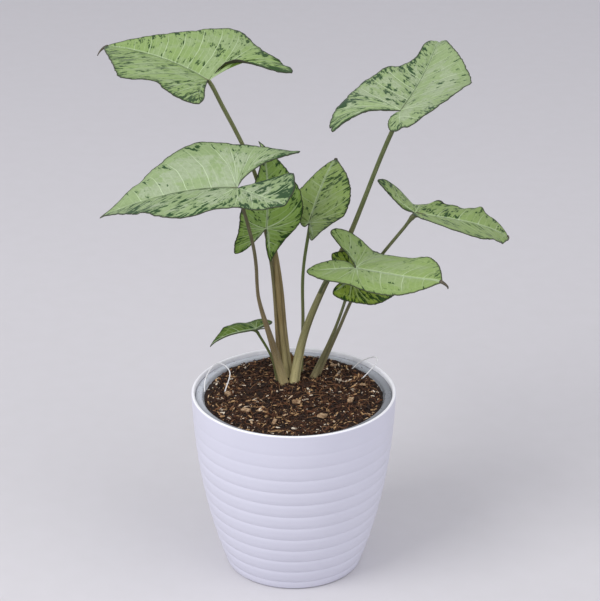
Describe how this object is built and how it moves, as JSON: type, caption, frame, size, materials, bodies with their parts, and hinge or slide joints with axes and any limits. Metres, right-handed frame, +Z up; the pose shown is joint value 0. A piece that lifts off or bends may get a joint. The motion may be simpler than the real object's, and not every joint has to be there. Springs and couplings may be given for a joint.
{
  "type": "potted syngonium",
  "caption": "Potted arrowhead plant: variegated green leaves on upright petioles, growing in coir mix in a liner inside a white ribbed planter.",
  "frame": {"origin": "middle of the planter's flat underside", "axes": "+Z up, the plant's front towards -Y, +X to the right seen from the front"},
  "size_m": [0.2638, 0.1991, 0.3246],
  "materials": {
    "pot_white": "satin moulded polypropylene",
    "liner_clear": "translucent, slightly cloudy",
    "coir_mix": "rough, fibrous, moist",
    "stem": "smooth living stem",
    "petiole": "smooth, slightly waxy",
    "dry_sheath": "dry, papery",
    "leaf": "waxy, variegated",
    "nylon": "clear",
    "coir_chip": "dry, fibrous"
  },
  "bodies": {
    "root": {"outer_pot": "pot_white", "inner_pot": "liner_clear", "potting_mix": "coir_mix", "stem_main": "stem", "stem_right": "stem", "dry_sheath": "dry_sheath", "petiole_top_left": "petiole", "leaf_top_left": "leaf", "petiole_large_left": "petiole", "leaf_large_left": "leaf", "petiole_centre": "petiole", "leaf_centre": "leaf", "petiole_small_centre": "petiole", "leaf_small_centre": "leaf", "petiole_top_right": "petiole", "leaf_top_right": "leaf", "petiole_right": "petiole", "leaf_right": "leaf", "petiole_front_right": "petiole", "leaf_front_right": "leaf", "petiole_under_right": "petiole", "leaf_under_right": "leaf", "petiole_low_left": "petiole", "leaf_low_left": "leaf", "label_loop_left": "nylon", "label_loop_right": "nylon", "coir_chip_1": "coir_chip", "coir_chip_2": "coir_chip", "coir_chip_3": "coir_chip", "coir_chip_4": "coir_chip", "coir_chip_5": "coir_chip", "coir_chip_6": "coir_chip", "coir_chip_7": "coir_chip", "coir_chip_8": "coir_chip"}
  },
  "joints": []
}
